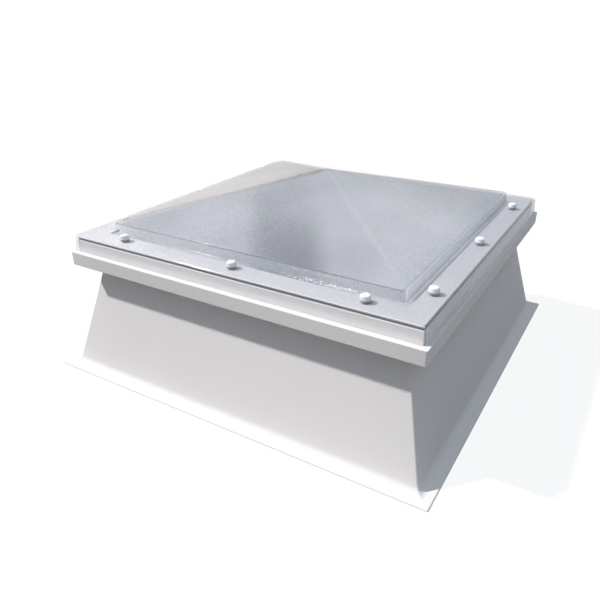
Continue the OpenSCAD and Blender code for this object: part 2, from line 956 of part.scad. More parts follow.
module clevis_pin() {
    ear_out = sash_ear_in + sash_ear_t;
    color("gainsboro")
        translate([0, clevis_y, clevis_z]) {
            across(clevis_d / 2, -ear_out, ear_out + clip_t + clevis_end);
            across(clevis_head_r, -ear_out - clevis_head_h, -ear_out);
        }
}

module clevis_clip() {
    ear_out = sash_ear_in + sash_ear_t;
    color("gray")
        translate([0, clevis_y, clevis_z])
            difference() {
                across(clevis_head_r, ear_out, ear_out + clip_t);
                across(clevis_d / 2 + fixed_fit, 0, 2 * ear_out);
            }
}

upstand();
hinge_fixed_leaf_left();
hinge_fixed_leaf_right();
hinge_pin_left();
hinge_pin_right();
hinge_fixed_screws();
jack_bracket();
jack_bracket_screws();
jack_pivot_bolts();
sash_frame();
weather_seal();
glazing_gasket();
inner_dome();
spacer_strip();
outer_dome();
fixing_washers();
fixing_screws();
fixing_caps();
hinge_moving_leaf_left();
hinge_moving_leaf_right();
hinge_moving_screws();
sash_bracket();
sash_bracket_screws();
clevis_pin();
clevis_clip();
gearbox_housing();
gearbox_cover();
gearbox_cover_screws();
input_bush();
spindle();
spindle_stop();
stop_pin();
winding_eye();
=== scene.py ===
# Opening rooflight: the finishes of its pieces, the moulded upstand, the formed domes and the turned
# pieces, the studio and the camera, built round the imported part. Metres throughout, +Z up, the front
# faces -Y.

import json
import math

import bpy
from mathutils import Matrix, Vector


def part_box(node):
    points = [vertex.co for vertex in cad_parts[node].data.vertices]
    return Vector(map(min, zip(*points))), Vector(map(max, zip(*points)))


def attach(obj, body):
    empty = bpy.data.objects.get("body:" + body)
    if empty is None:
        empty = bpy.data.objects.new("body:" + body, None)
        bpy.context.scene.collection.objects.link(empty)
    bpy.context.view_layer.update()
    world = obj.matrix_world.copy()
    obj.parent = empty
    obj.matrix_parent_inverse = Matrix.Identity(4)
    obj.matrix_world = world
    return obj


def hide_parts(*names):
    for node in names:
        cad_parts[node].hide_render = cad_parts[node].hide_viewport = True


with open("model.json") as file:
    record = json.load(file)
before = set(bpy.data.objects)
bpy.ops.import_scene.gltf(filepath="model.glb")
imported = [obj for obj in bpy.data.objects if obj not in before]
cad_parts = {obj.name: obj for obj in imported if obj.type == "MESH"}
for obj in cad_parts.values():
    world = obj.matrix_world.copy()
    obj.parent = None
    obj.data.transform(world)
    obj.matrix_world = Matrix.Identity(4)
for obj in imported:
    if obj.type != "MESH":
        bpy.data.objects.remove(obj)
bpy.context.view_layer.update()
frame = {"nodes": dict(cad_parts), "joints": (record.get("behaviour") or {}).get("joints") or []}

MM = 0.001
nodes = frame["nodes"]

# Sizes of the two formed sheets
CLEAR_T = 3 * MM
DIFFUSER_T = 2.5 * MM
SKIRT_FLARE = 3.5 * MM
FLANGE_W = 64 * MM
FLANGE_R = 3.5 * MM
FLANGE_CORNER_R = 12 * MM
STEP_H = 24 * MM
STEP_DRAFT = 3 * MM
STEP_R = 5 * MM
STEP_CORNER_R = 12 * MM
PITCH = math.radians(14.65)
APEX_R = 60 * MM
# Radius of the soft ridges, and how far up the slope they take to reach it
HIP_R = 14 * MM
HIP_RUN = 70 * MM
# Gap from the outer sheet to the inner one at the step, and below the slopes
SKIN_GAP = 3 * MM
SKIN_DROP = 2.5 * MM
# Plan radius of the inner sheet's flange, and the least one on any sheet's underside
DIFFUSER_CORNER_R = 2 * MM
TIGHTEST_R = 0.5 * MM
# Hair's breadth that a sheet or a cap stays clear of what it lies on
HAIR = 0.15 * MM

# Fixing caps: outside, bore for the screw head, foot, dimple, and their places on the flange
CAP_R = 11 * MM
CAP_ROUND = 3.5 * MM
CAP_BORE = 5.4 * MM
CAP_DEEP = 3.6 * MM
CAP_FOOT_W = 0.4 * MM
CAP_FOOT_H = 1.1 * MM
CAP_FOOT_EASE = 0.3 * MM
CAP_EASE_TOP = 0.4 * MM
CAP_BODY_Z = 1.9 * MM
CAP_DIMPLE_R = 1.6 * MM
CAP_DIMPLE_FLOOR_R = 1.2 * MM
CAP_DIMPLE_DEEP = 0.25 * MM
FIXING_INSET = 36 * MM
FIXING_END = 131 * MM

# Upstand: base flange, cove, leaning walls, ledge and lip, with the radii along its edges and corners
RIM_HALF = 441 * MM
BASE_T = 3.5 * MM
BASE_RIM = 28.6 * MM
COVE_R = 18 * MM
WALL_LEAN = math.radians(14.42)
WALL_T = 22 * MM
LEDGE_T = 8 * MM
LIP_H = 32.5 * MM
LIP_T = 5 * MM
RIM_R = 1.5 * MM
EDGE_R = 1.5 * MM
BASE_EDGE_R = 3.2 * MM
WALL_CORNER_R = 4 * MM

# Screw jack: spindle with a two-start thread, its eye, and the winding eye with its shaft and collar
SPINDLE_R = 6 * MM
THREAD_DEPTH = 1.1 * MM
THREAD_LEAD = 10 * MM
THREAD_STARTS = 2
THREAD_STEP = 0.5 * MM
THREAD_RUN_OUT = 8 * MM
STOP_H = 8 * MM
SPINDLE_EYE_R = 9.5 * MM
SPINDLE_EYE_BORE = 4.35 * MM
SPINDLE_EYE_W = 11 * MM
SPINDLE_EYE_EDGE = 1.2 * MM
SPINDLE_LAP = 2 * MM
SHAFT_R = 5 * MM
SHAFT_START = 21 * MM
COLLAR_R = 8 * MM
COLLAR_START = 35.8 * MM
COLLAR_H = 3 * MM
COLLAR_FILLET = 0.5 * MM
SHAFT_EDGE = 0.8 * MM
WINDING_BORE = 11 * MM
WINDING_RIM = 6 * MM
WINDING_T = 7 * MM
WINDING_EDGE = 2.4 * MM
WINDING_NECK = 12 * MM

# Lamp: strength, spread, colour, and the way its light goes
KEY_STRENGTH = 3.25
KEY_SPREAD = math.radians(2.5)
KEY_COLOUR = (1.0, 0.975, 0.945)
KEY_TOWARD = (0.606, 0.273, -0.747)

# Sky: strength at the horizon and where it is brightest, the way to that place, and colour
SKY_LOW = 0.02
SKY_HIGH = 0.90
SKY_MIDDLE = (0.20, -0.15, 0.968)
SKY_COLOUR = (0.78, 0.89, 1.0, 1.0)

# Floor: tone for bounce, how far and over what size it varies, and the glow and shade that it is seen with
FLOOR_HALF = 30.0
FLOOR_TONE = 0.28
FLOOR_VARIES = 0.03
FLOOR_PATCH = 0.4
FLOOR_GLOW = 0.86
FLOOR_SHADE = 0.18

# Camera: place, degrees down from level and round from +Y, and lens and sensor in millimetres
CAMERA_PLACE = (0.6963, -1.2833, 0.8194)
CAMERA_DOWN = 26.33
CAMERA_ROUND = 31
CAMERA_LENS = 35.618
CAMERA_SENSOR = 36.0

# How close to a bend the next points of a flat face lie
HOLD = 0.8 * MM
# Stretches in each rounded corner of a section, of an eye and of a shaft
ARC_STEPS = 6
EYE_ARC_STEPS = 4
SHAFT_ARC_STEPS = 3
# Stretches in each plan corner and along each side of a ring
CORNER_STEPS = 8
SIDE_STEPS = 10
# Stretches from the eaves to the apex's round
SLOPE_STEPS = 8
# Sides of what is turned: caps, shaft, eyes and spindle
CAP_SIDES = 36
SHAFT_SIDES = 40
EYE_SIDES = 48
SPINDLE_SIDES = 28
# Angle from which an edge shades sharp: on most pieces, on the caps and on fused pieces
SHARP = math.radians(40)
CAP_SHARP = math.radians(50)
FUSED_SHARP = math.radians(35)
# Rounding error that still counts as the middle
TINY = 1e-9

# Places that the solids give
dome_low, dome_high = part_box("outer_dome")
hem_half, hem_z = dome_high.x, dome_low.z
flange_half = hem_half - SKIRT_FLARE
flange_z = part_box("fixing_washers")[0].z
cap_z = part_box("fixing_caps")[0].z
cap_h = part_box("fixing_caps")[1].z - cap_z
base_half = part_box("upstand")[1].x
rim_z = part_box("upstand")[1].z
step_foot = flange_half - FLANGE_W
step_top = step_foot - STEP_DRAFT
step_z = flange_z + STEP_H
fixing_line = flange_half - FIXING_INSET
fixing_pitch = flange_half - FIXING_END
diffuser_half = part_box("inner_dome")[1].x
diffuser_flange_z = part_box("spacer_strip")[0].z
diffuser_foot = step_foot - CLEAR_T - SKIN_GAP
diffuser_top = diffuser_foot - STEP_DRAFT
diffuser_eaves_z = (step_z + (step_top - diffuser_top) * math.tan(PITCH)
                    - CLEAR_T / math.cos(PITCH) - SKIN_DROP)
joints = {joint["name"]: joint for joint in frame["joints"]}
jack_pivot = Vector(joints["jack_swing"]["pos_m"])
spindle_axis = Vector(joints["spindle_slide"]["axis"])
shaft_axis = Vector(joints["eye_winding"]["axis"])
clevis = (Vector(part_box("clevis_pin")[0]) + Vector(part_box("clevis_pin")[1])) / 2
spindle_top = (clevis - jack_pivot).dot(spindle_axis)
stop_middle = (Vector(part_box("spindle_stop")[0]) + Vector(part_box("spindle_stop")[1])) / 2
spindle_foot = (stop_middle - jack_pivot).dot(spindle_axis) - STOP_H / 2


# Finishes

class Field:
    """A socket that varies over a surface; arithmetic on it adds Math nodes."""

    def __init__(self, nodes, socket):
        self.nodes = nodes
        self.socket = socket

    def also(self, output):
        """Another output of the same node."""
        return Field(self.nodes, self.socket.node.outputs[output])

    def by(self, operation, *operands):
        """The result of a Math node."""
        return self.nodes.add("ShaderNodeMath", {"operation": operation}, dict(enumerate(operands)))

    def __add__(self, other):
        return self.by("ADD", self, other)

    def __sub__(self, other):
        return self.by("SUBTRACT", self, other)

    def __rsub__(self, other):
        return self.by("SUBTRACT", other, self)

    def __mul__(self, other):
        return self.by("MULTIPLY", self, other)

    def __pow__(self, other):
        return self.by("POWER", self, other)

    def __abs__(self):
        return self.by("ABSOLUTE", self)

    __radd__ = __add__
    __rmul__ = __mul__

    def or_more(self, other):
        """The larger of two values."""
        return self.by("MAXIMUM", self, other)

    def or_less(self, other):
        """The smaller of two values."""
        return self.by("MINIMUM", self, other)

    def rises(self, low, high):
        """0 below low, 1 above high, smooth between them; falls where low is above high."""
        return self.nodes.add("ShaderNodeMapRange", {"interpolation_type": "SMOOTHSTEP"},
                              {"Value": self, "From Min": low, "From Max": high})

    def near(self, value, reach):
        """1 close to a value, falling to 0 at this reach on either side of it."""
        return abs(self - value).rises(reach, 0.35 * reach)


class Nodes:
    """The node tree of a material or of the world."""

    def __init__(self, owner):
        owner.use_nodes = True
        self.tree = owner.node_tree
        self.tree.nodes.clear()

    def add(self, kind, settings=None, inputs=None, output=0):
        """A node from its type, its settings, and the values or links of its sockets."""
        node = self.tree.nodes.new(kind)
        for name, value in (settings or {}).items():
            setattr(node, name, value)
        for name, value in (inputs or {}).items():
            if isinstance(value, Field):
                self.tree.links.new(value.socket, node.inputs[name])
            else:
                node.inputs[name].default_value = value
        return Field(self, node.outputs[output]) if node.outputs else None

    def mixed(self, share, first, second):
        """A shader between two shaders."""
        return self.add("ShaderNodeMixShader", None, {0: share, 1: first, 2: second})

    def seen_directly(self):
        """1 for what is seen, also through glass and in gloss, 0 for what lights the object."""
        camera_ray = self.add("ShaderNodeLightPath", output="Is Camera Ray")
        through = camera_ray.or_more(camera_ray.also("Is Transmission Ray"))
        return through.or_more(camera_ray.also("Is Glossy Ray"))


class Finish(Nodes):
    """A material and the nodes that make it."""

    def __init__(self, name):
        self.material = bpy.data.materials.new(name)
        super().__init__(self.material)
        self.place = self.add("ShaderNodeTexCoord", output="Object")
        self.x = self.add("ShaderNodeSeparateXYZ", None, {"Vector": self.place})
        self.y = self.x.also("Y")
        self.z = self.x.also("Z")

    def noise(self, size, detail=2.0, at=None):
        """Cloudy noise from 0 to 1, with lumps of about this size."""
        return self.add("ShaderNodeTexNoise", None,
                        {"Vector": at or self.place, "Scale": 1 / size, "Detail": detail})

    def cells(self, size, at=None):
        """Distance to the nearest of points scattered at this spacing, in spacings."""
        return self.add("ShaderNodeTexVoronoi", None, {"Vector": at or self.place, "Scale": 1 / size})

    def stretched(self, x=1.0, y=1.0, z=1.0):
        """The place on the object, scaled along each axis."""
        return self.add("ShaderNodeVectorMath", {"operation": "MULTIPLY"},
                        {0: self.place, 1: (x, y, z)})

    def across(self):
        """Distance from the middle towards the nearest side."""
        return abs(self.x).or_more(abs(self.y))

    def aside(self):
        """Distance from the middle along that side."""
        return abs(self.x).or_less(abs(self.y))

    def blend(self, share, first, second):
        """A colour between two colours."""
        return self.add("ShaderNodeMix", {"data_type": "RGBA"},
                        {0: share, 6: first, 7: second}, 2)

    def bumped(self, height, depth):
        """A normal for heights from 0 to 1 that stand for this depth."""
        return self.add("ShaderNodeBump", None, {"Height": height, "Distance": depth})

    def principled(self, **sockets):
        """A surface shader from its sockets by name, with _ for a space."""
        return self.add("ShaderNodeBsdfPrincipled", None,
                        {name.replace("_", " "): value for name, value in sockets.items()})

    def glowing(self, colour):
        """A shader that passes light from its far side."""
        return self.add("ShaderNodeBsdfTranslucent", None, {"Color": colour})

    def lit_through(self, shader, share):
        """The shader, except that the lamps shine through it by this share."""
        lamp_ray = self.add("ShaderNodeLightPath", output="Is Shadow Ray")
        return self.mixed(share * lamp_ray, shader, self.add("ShaderNodeBsdfTransparent"))

    def done(self, shader):
        """The material, with this shader on its surface."""
        self.add("ShaderNodeOutputMaterial", None, {"Surface": shader})
        return self.material

    def surface(self, **sockets):
        """The material, with one surface shader from its sockets by name."""
        return self.done(self.principled(**sockets))


def rgb(red, green, blue):
    return (red, green, blue, 1.0)


def gelcoat():
    """Smooth white moulding: faint clouding, long waves and orange peel."""
    f = Finish("white_gelcoat")
    cloud = f.noise(180 * MM, 3.0)
    peel = f.noise(4 * MM)
    wave = f.noise(70 * MM, 1.0)
    return f.surface(
        Base_Color=f.blend(cloud, rgb(0.85, 0.815, 0.81), rgb(0.885, 0.85, 0.845)),
        Roughness=0.40 + 0.14 * f.noise(30 * MM),
        Specular_IOR_Level=0.03,
        Normal=f.bumped(0.12 * peel + wave, 0.25 * MM))


def extruded_white():
    """White plastic profile: draw lines along each side and a weld at each mitre."""
    f = Finish("white_profile")
    section = f.add("ShaderNodeCombineXYZ", None, {"X": f.across(), "Z": f.z})
    draw = f.noise(1.6 * MM, 3.0, section)
    weld = abs(abs(f.x) - abs(f.y)).rises(1.2 * MM, 0.3 * MM)
    tone = 0.6 * draw + 0.4 * f.noise(90 * MM)
    white = f.blend(tone, rgb(0.93, 0.90, 0.905), rgb(0.97, 0.945, 0.95))
    return f.surface(
        Base_Color=f.blend(weld, white, rgb(0.62, 0.62, 0.62)),
        Roughness=0.30 + 0.10 * draw,
        Specular_IOR_Level=0.04,
        Normal=f.bumped(draw - 0.8 * weld, 0.06 * MM))


def cap_white():
    """White moulded cap with a faint bloom; part of the lamps' light passes through it."""
    f = Finish("white_cap_plastic")
    tone_and_sheen = f.noise(9 * MM, 3.0)
    plastic = f.principled(
        Base_Color=f.blend(tone_and_sheen, rgb(0.84, 0.84, 0.84), rgb(0.90, 0.90, 0.895)),
        Roughness=0.24 + 0.14 * tone_and_sheen,
        Normal=f.bumped(f.noise(1.5 * MM), 0.04 * MM))
    return f.done(f.lit_through(plastic, 0.5))


def foam():
    """Grey-blue foam tape, paler towards the front left, with painted sparkle flecks where it is palest."""
    f = Finish("pale_foam")
    cell = f.cells(1.4 * MM)
    grain = f.noise(4.5 * MM, 1.0)
    corner_to_corner = f.x + f.y + 0.3 * (f.noise(80 * MM) - 0.5)
    paler_front_left = 0.55 * corner_to_corner.rises(0.95, -0.55) + 0.42 * corner_to_corner.rises(-0.44, -0.80)
    left_speckle = paler_front_left.rises(0.54, 0.78)
    # Painted sparkle: white flecks standing for glints of light, most where the tape is palest
    painted_sparkle = f.cells(6 * MM).rises(0.45, 0.20) * (0.15 + 0.85 * left_speckle)
    tape = f.blend(0.94 * paler_front_left + (0.4 + 1.8 * left_speckle) * (grain - 0.5),
                   rgb(0.37, 0.38, 0.42), rgb(0.91, 0.88, 0.895))
    return f.surface(
        Base_Color=f.blend(painted_sparkle, tape, rgb(0.97, 0.97, 0.98)),
        Roughness=0.75 + 0.2 * cell,
        Normal=f.bumped(cell, 0.3 * MM))


def rubber(name, dark, pale):
    """Extruded or moulded rubber with a dusting of bloom."""
    f = Finish(name)
    tone_and_sheen = f.noise(14 * MM, 4.0).rises(0.45, 0.75)
    grain = f.noise(0.8 * MM)
    return f.surface(
        Base_Color=f.blend(tone_and_sheen, dark, pale),
        Roughness=0.55 + 0.25 * tone_and_sheen,
        Normal=f.bumped(grain, 0.05 * MM))


def patch(f, x, y, reach):
    """1 in the middle of a soft round patch on the slopes, 0 outside it."""
    sideways, backwards = f.x - x, f.y - y
    return (sideways * sideways + backwards * backwards).rises(reach * reach, 0.0)


def slopes_on(outwards, sideways):
    """1 on the dome's side that lies outwards, 0 on the others, changing over along the ridges."""
    return (outwards - abs(sideways)).rises(-HIP_R, HIP_R)


def diffusing_sheet():
    """Grey-blue translucent sheet with a fine pebbled face. Painted shade darkens it at the apex, in a soft
    band down the front and towards the back of both sides; painted light pales its side slopes, with a
    painted warm tint on the left. Its step is painted paler, most of all at the left. Part of the lamps'
    light passes through it."""
    f = Finish("diffusing_sheet")
    pebble = f.cells(3.4 * MM)
    fine = f.noise(2.2 * MM)
    grain = f.noise(5 * MM, 1.0) - 0.5
    cloud = f.noise(140 * MM) - 0.5
    step = f.across().rises(diffuser_top - 2 * MM, diffuser_top)
    step = step * f.z.rises(diffuser_flange_z + MM, diffuser_flange_z + 5 * MM)
    left = slopes_on(-1 * f.x, f.y)
    right = slopes_on(f.x, f.y)

    # Slopes: painted shade and painted light, and a grain that is coarsest on the right slope
    band, band_reach = f.x + 0.64 * f.y + 0.12, 0.115
    # Painted shade: darker at the apex, in a band down the front and towards the back of the sides
    painted_shade = (0.46 * (band * band).rises(band_reach ** 2, 0.0) * f.y.rises(-0.05, -0.36)
             + 0.10 * patch(f, 0.0, 0.0, 0.16)
             + 0.12 * patch(f, -0.05, -0.12, 0.09)
             + 0.12 * patch(f, 0.19, -0.34, 0.13)
             + right * (0.46 * f.y.rises(-0.06, 0.28) + 0.10 * f.x.rises(0.31, 0.345))
             + left * (0.50 * f.x.rises(-0.30, -0.02) + 0.22 * f.y.rises(-0.12, 0.12)))
    # Painted light: paler patches, and paler side slopes
    painted_light = (0.12 * patch(f, -0.14, -0.27, 0.12) + 0.06 * f.x.rises(0.08, 0.18)
            + 0.21 * right + 0.16 * left)
    coarse = (1 - 0.65 * f.x.rises(-0.05, 0.12)) * (1 - right) + 1.2 * right
    speckle = coarse * (0.6 * grain + 0.3 * (fine - 0.5) + 0.1 * (pebble - 0.4))
    tone = 0.665 + 0.2 * cloud + speckle + painted_light - painted_shade
    cool = f.blend(tone, rgb(0.165, 0.176, 0.203), rgb(0.62, 0.635, 0.685))
    # Painted warm tint of sunlight on the left slope
    painted_sunlit_tint = f.blend(tone, rgb(0.185, 0.17, 0.17), rgb(0.66, 0.62, 0.61))
    shade = f.blend(0.5 * left, cool, painted_sunlit_tint)

    # Step: painted light that makes it paler, most of all at the left
    left_speckle = 1 + f.x.rises(-0.05, -0.30)
    step_painted_light = (0.405 + 0.9 * left_speckle * grain + 0.43 * f.x.rises(0.10, -0.30)
             - 0.56 * painted_shade - 0.1 * f.x.rises(0.30, 0.35))
    # The step's colour, between grey and white, set by the painted light above
    pale = f.blend(step_painted_light, rgb(0.45, 0.47, 0.51), rgb(1.0, 0.99, 1.0))

    face = f.principled(Base_Color=f.blend(step, shade, pale), Roughness=0.42 + 0.15 * fine,
                        Specular_IOR_Level=0.06, Normal=f.bumped(pebble + 0.5 * fine, 0.35 * MM))
    slope_glow = f.mixed(tone, f.glowing(rgb(0.31, 0.33, 0.375)), f.glowing(rgb(0.92, 0.935, 0.97)))
    step_glow = f.mixed(step_painted_light, f.glowing(rgb(0.68, 0.72, 0.79)), f.glowing(rgb(0.94, 0.965, 1.0)))
    glow = f.mixed(step, slope_glow, step_glow)
    lit = 0.7 + 0.3 * f.across().rises(diffuser_top - 30 * MM, diffuser_top - 5 * MM)
    return f.done(f.lit_through(f.mixed(0.5 + 0.3 * step, face, glow), lit))


def diffuser_back():
    """Smooth underside of the diffusing sheet, nearly clear."""
    f = Finish("diffuser_back")
    film = f.noise(50 * MM, 3.0)
    return f.surface(
        Base_Color=rgb(0.70, 0.74, 0.80),
        Roughness=0.18 + 0.1 * film,
        Alpha=0.06 + 0.06 * film)


def clear_sheet():
    """Clear glossy sheet that mirrors more where it is seen aslant, and a little all over its skirt. It
    shows painted shade as a fine dark line along the eaves and the upright corners, painted glints about
    the foot of its step, a painted highlight along its edge at the front and back, a little dust and a
    painted warm reflection on the left slope. The lamps shine through it."""
    f = Finish("clear_sheet")
    across, aside = f.across(), f.aside()
    facing = f.add("ShaderNodeLayerWeight", None, {"Blend": 0.5}, "Facing")
    glare = (0.03 + 1.3 * facing ** 5).or_less(0.57)
    skirt = f.z.rises(flange_z - 2 * MM, flange_z - 6 * MM)
    front_back = (abs(f.y) - abs(f.x)).rises(-6 * MM, 0.0)
    above_step = f.z.rises(step_z - 4 * MM, step_z)
    left = slopes_on(-1 * f.x, f.y) * above_step
    back = slopes_on(f.y, f.x) * above_step

    # Painted shade: dark lines along bends, and where the sheet is seen edge on
    eaves = across.near(step_top + 0.5 * MM, 1.3 * MM) * f.z.rises(step_z - 5 * MM, step_z - 3 * MM)
    upright = aside.near(step_foot - 3 * MM, 6 * MM) * f.z.rises(flange_z + MM, flange_z + 3 * MM)
    corner = (across - aside).rises(2.4 * MM, 0.9 * MM) * upright.or_more(skirt)
    dark_bend = (eaves * (0.2 + 0.8 * front_back)).or_more(0.75 * corner)
    edge = facing.rises(0.88, 0.97) * f.x.rises(-0.30, -0.22)

    # Painted glints about the foot of the step, and a painted highlight along the flange's outer edge
    broken = f.cells(4.5 * MM).rises(0.55, 0.3)
    foot = across.near(step_foot + 2 * MM, 4 * MM) * f.z.rises(flange_z + 5 * MM, flange_z + 3 * MM)
    glint_row = across.rises(step_top, step_top + MM) * f.z.near(step_z - 8 * MM, 2.5 * MM)
    # Painted glints: broken white dots at the step's foot and in a row above it
    painted_glints = (foot * f.x.near(0.20, 0.13)).or_more(glint_row * f.x.near(0.18, 0.14)) * broken
    # Painted highlight along the flange's outer edge, at the front and back
    rim = across.near(flange_half - MM, 2.2 * MM) * f.z.rises(flange_z - 4 * MM, flange_z - 2 * MM)
    glint = (1.2 * painted_glints).or_more(rim * front_back)

    # Dust, film, and the tint of the sheet's veil: a painted reflection, warm on the left slope and near
    # clear away from the sun, with painted shade on the skirt
    dust = f.cells(11 * MM).rises(0.10, 0.05) * f.noise(60 * MM).rises(0.45, 0.6)
    film = 0.03 * f.noise(45 * MM, 3.0)
    away_from_sun = 0.55 * f.x.rises(-0.17, 0.0) + 0.5 * f.y.rises(0.0, 0.18)
    # Painted warm reflection of sunlight on the left slope, nearly clear away from the sun and at the back
    tone_and_sheen = f.blend(away_from_sun.or_more(back), rgb(0.37, 0.33, 0.32), rgb(0.03, 0.02, 0.015))
    sheen_tint = f.blend(left.or_more(back), rgb(0.47, 0.485, 0.53), tone_and_sheen)
    # Painted shade: the skirt's veil is darker, coolest on its sides
    hem = f.blend(front_back, rgb(0.25, 0.28, 0.33), rgb(0.34, 0.31, 0.31))
    sheen_tint = f.blend(skirt, sheen_tint, hem)
    tint = f.blend(dark_bend.or_more(0.5 * edge), sheen_tint, rgb(0.10, 0.10, 0.10))

    sheet = f.principled(
        Base_Color=f.blend(glint.or_more(dust), tint, rgb(0.95, 0.95, 0.96)),
        Roughness=0.05 + 0.3 * dust,
        Alpha=glare + film + 0.3 * dust + 0.45 * dark_bend + 0.3 * edge + 0.6 * glint,
        Normal=f.bumped(f.noise(80 * MM, 1.0), 0.3 * MM))
    mirror = f.add("ShaderNodeBsdfGlossy", None, {"Color": rgb(0.84, 0.93, 1.0), "Roughness": 0.08})
    return f.done(f.lit_through(f.mixed(0.055 * skirt, sheet, mirror), 0.92))


def cast_paint():
    """Grey paint over a casting: pebbled, with a little wear and dust."""
    f = Finish("grey_casting_paint")
    pebble = f.noise(2.2 * MM, 3.0)
    wear = f.noise(16 * MM, 5.0).rises(0.60, 0.72)
    return f.surface(
        Base_Color=f.blend(wear, rgb(0.46, 0.47, 0.48), rgb(0.60, 0.60, 0.60)),
        Roughness=0.42 + 0.2 * pebble,
        Normal=f.bumped(pebble, 0.25 * MM))


def metal(name, bright, dull, rough, size):
    """Plated or turned metal with fine patches of dulling."""
    f = Finish(name)
    dulled = f.noise(size, 4.0)
    brush = f.noise(size / 6, 2.0, f.stretched(0.08))
    return f.surface(
        Base_Color=f.blend(dulled, bright, dull),
        Metallic=1.0,
        Roughness=rough + 0.18 * dulled + 0.10 * brush,
        Normal=f.bumped(brush, 0.02 * MM))


def dress(material, *names):
    """Gives solids of the part a finish."""
    for name in names:
        mesh = nodes[name].data
        mesh.materials.clear()
        mesh.materials.append(material)


# Moulded, formed and turned pieces

def rounded(points, steps=ARC_STEPS):
    """A line through (x, z, corner radius) points, with an arc at each corner."""
    line = []
    for i, (x, z, r) in enumerate(points):
        corner = Vector((x, z))
        if r == 0:
            line.append(corner)
            continue
        before = (Vector(points[i - 1][:2]) - corner).normalized()
        after = (Vector(points[i + 1][:2]) - corner).normalized()
        half = before.angle(after) / 2
        centre = corner + (before + after).normalized() * r / math.sin(half)
        start = corner + before * r / math.tan(half) - centre
        sweep = start.angle_signed(corner + after * r / math.tan(half) - centre)
        for k in range(steps + 1):
            angle = -sweep * k / steps
            turn = Vector((start.x * math.cos(angle) - start.y * math.sin(angle),
                           start.x * math.sin(angle) + start.y * math.cos(angle)))
            line.append(centre + turn)
    return line


def held(line):
    """The line with a point close to each end of its stretches over four times HOLD, so that flat faces
    shade flat."""
    close = line[:1]
    for start, end in zip(line, line[1:]):
        share = HOLD / (end - start).length
        if share < 0.25:
            close += [start.lerp(end, share), end.lerp(start, share)]
        close.append(end)
    return close


def offset(line, depth):
    """The line moved by depth to its left."""
    shifted = []
    for i, p in enumerate(line):
        heading = (line[min(i + 1, len(line) - 1)] - line[max(i - 1, 0)]).normalized()
        shifted.append(p + Vector((-heading.y, heading.x)) * depth)
    return shifted


def square_ring(half, z, corner):
    """Points round a square with rounded corners."""
    ring = []
    flat = half - corner
    for quarter in range(4):
        c, s = (1, 0, -1, 0)[quarter], (0, 1, 0, -1)[quarter]
        side = [Vector((half, flat * (2 * k / SIDE_STEPS - 1))) for k in range(SIDE_STEPS)]
        bend = [Vector((flat + corner * math.cos(k * math.pi / 2 / CORNER_STEPS),
                        flat + corner * math.sin(k * math.pi / 2 / CORNER_STEPS)))
                for k in range(CORNER_STEPS)]
        ring += [(c * p.x - s * p.y, s * p.x + c * p.y, z) for p in side + bend]
    return ring


def new_piece(name, points, faces, material, sharp=SHARP):
    """A smooth piece in the scene, with edges that bend by more than an angle kept sharp."""
    mesh = bpy.data.meshes.new(name)
    mesh.from_pydata(points, [], faces)
    mesh.validate()
    mesh.shade_smooth()
    mesh.set_sharp_from_angle(angle=sharp)
    mesh.materials.append(material)
    piece = bpy.data.objects.new(name, mesh)
    bpy.context.scene.collection.objects.link(piece)
    return piece


def loft(rings, hoop=False):
    """Quads between closed rings of equal length; a ring of one point closes an end, and a hoop
    joins its last ring to its first."""
    points, faces, starts = [], [], []
    for ring in rings:
        starts.append(len(points))
        points += ring
    after = 1 if hoop else 0
    for a, b, low, high in zip(rings, rings[1:] + rings[:after], starts, starts[1:] + starts[:after]):
        n = max(len(a), len(b))
        for i in range(n):
            j = (i + 1) % n
            corners = [low + i % len(a), low + j % len(a), high + j % len(b), high + i % len(b)]
            faces.append(list(dict.fromkeys(corners)))
    return points, faces


def formed_sheet(name, section, corners, thickness, face, back):
    """A sheet of even thickness with the same section on four sides; corners gives (half width,
    plan radius) pairs."""
    def corner_at(half):
        for (wide, r_wide), (slim, r_slim) in zip(corners, corners[1:]):
            if slim <= half <= wide:
                share = (wide - half) / (wide - slim) if wide > slim else 0
                return r_wide + (r_slim - r_wide) * share
        return corners[0][1]

    under = offset(section, thickness - HAIR)
    top_rings, under_rings = [], []
    for p, q in zip(section, under):
        r = min(corner_at(p.x), p.x)
        top_rings.append(square_ring(p.x, p.y, r))
        under_rings.append(square_ring(q.x, q.y, max(r + q.x - p.x, TIGHTEST_R)))
    top_rings[-1] = [(0, 0, section[-1].y)]
    under_rings[-1] = [(0, 0, section[-1].y - thickness)]
    points, faces = loft(under_rings[::-1] + top_rings)
    piece = new_piece(name, points, faces, face)
    if back:
        # The underside's faces come first
        piece.data.materials.append(back)
        for polygon in piece.data.polygons[:(len(under) - 1) * len(under_rings[0])]:
            polygon.material_index = 1
    return piece


def slope(top, eaves_z):
    """Section points from the eaves to the apex."""
    apex_z = eaves_z + top * math.tan(PITCH)
    crown = rounded([(top, eaves_z, 0), (0, apex_z, APEX_R), (-top, eaves_z, 0)], 2 * ARC_STEPS)
    return [p for p in crown[1:] if p.x > -TINY]


def ridges(top):
    """Plan radii of the pyramid's corners, from the eaves to the apex."""
    return [(top, STEP_CORNER_R - STEP_DRAFT), (top - HIP_RUN, HIP_R), (HIP_R, HIP_R), (0, 0)]


def divided(start, end, count):
    """The points that divide a straight stretch evenly."""
    return [start.lerp(end, k / count) for k in range(1, count)]


